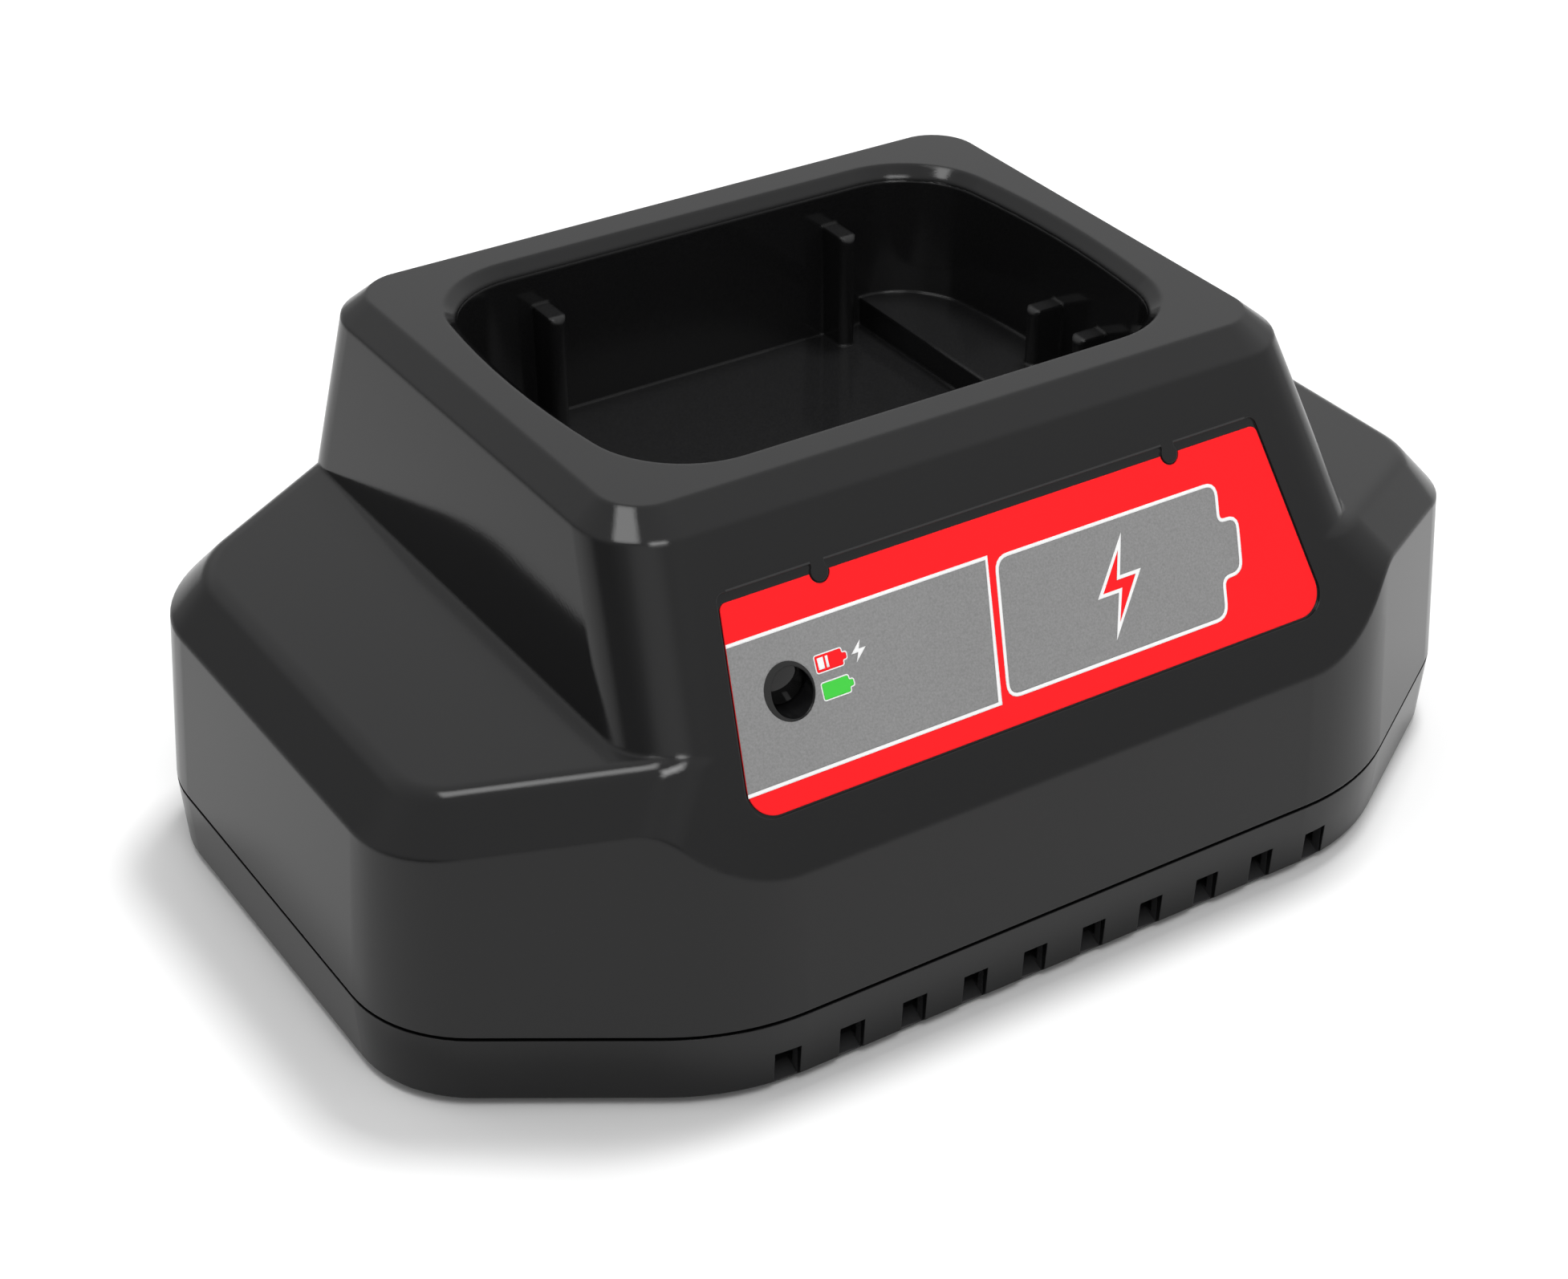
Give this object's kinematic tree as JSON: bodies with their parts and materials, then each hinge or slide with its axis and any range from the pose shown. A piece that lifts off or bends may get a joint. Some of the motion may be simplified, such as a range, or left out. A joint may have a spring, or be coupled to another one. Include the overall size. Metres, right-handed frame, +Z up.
{
  "type": "battery charging dock",
  "caption": "Desktop charging dock with an octagonal base, a raised tub with a deep battery well, a sloping labelled front, vent notches and a rear mains inlet.",
  "frame": {"origin": "centre of the dock's plan, on the surface that its rubber feet stand on", "axes": "+X to the right along the length, +Y from the labelled front to the back, +Z up"},
  "size_m": [0.24, 0.154, 0.0994],
  "materials": {
    "case_black": "fine spark-eroded texture, slightly satin",
    "tray_black": "fine spark-eroded texture",
    "well_gloss": "polished",
    "label_red": "satin printed film",
    "lens_clear": "polished, smoke tinted",
    "led_body": "polished",
    "board_green": "solder resist",
    "rubber": "moulded",
    "plate_grey": "plain film",
    "screw_zinc": "zinc plated",
    "contact_brass": "nickel flashed",
    "contact_housing": "moulded",
    "inlet_black": "moulded",
    "ferrite": "sintered",
    "winding_tape": "wrapped tape",
    "can_sleeve": "shrink sleeve",
    "heat_sink": "extruded",
    "package_black": "moulded",
    "film_yellow": "moulded",
    "fuse_glass": "glass tube",
    "wire_brown": "extruded sleeve",
    "wire_blue": "extruded sleeve",
    "wire_green": "extruded sleeve",
    "wire_red": "extruded sleeve",
    "wire_black": "extruded sleeve",
    "wire_white": "extruded sleeve"
  },
  "bodies": {
    "root": {"upper_case": "case_black", "base_tray": "tray_black", "battery_well": "well_gloss", "front_label": "label_red", "light_pipe": "lens_clear", "led": "led_body", "led_board": "board_green", "led_board_screws": "screw_zinc", "led_wires": "wire_white", "rubber_feet": "rubber", "rating_plate": "plate_grey", "case_screws": "screw_zinc", "well_screws": "screw_zinc", "contact_block": "contact_housing", "contact_blades": "contact_brass", "contact_screws": "screw_zinc", "main_board": "board_green", "board_screws": "screw_zinc", "transformer_core": "ferrite", "transformer_winding": "winding_tape", "bulk_capacitors": "can_sleeve", "output_capacitors": "can_sleeve", "line_choke": "winding_tape", "film_capacitor": "film_yellow", "fuse": "fuse_glass", "fuse_clips": "contact_brass", "heat_sinks": "heat_sink", "power_transistors": "package_black", "control_chips": "package_black", "output_header": "package_black", "mains_inlet": "inlet_black", "inlet_pins": "contact_brass", "inlet_screws": "screw_zinc", "inlet_nuts": "screw_zinc", "mains_wire_live": "wire_brown", "mains_wire_neutral": "wire_blue", "mains_wire_earth": "wire_green", "battery_wire_negative": "wire_black", "battery_wire_positive": "wire_red", "battery_wire_sense": "wire_white"}
  },
  "joints": []
}
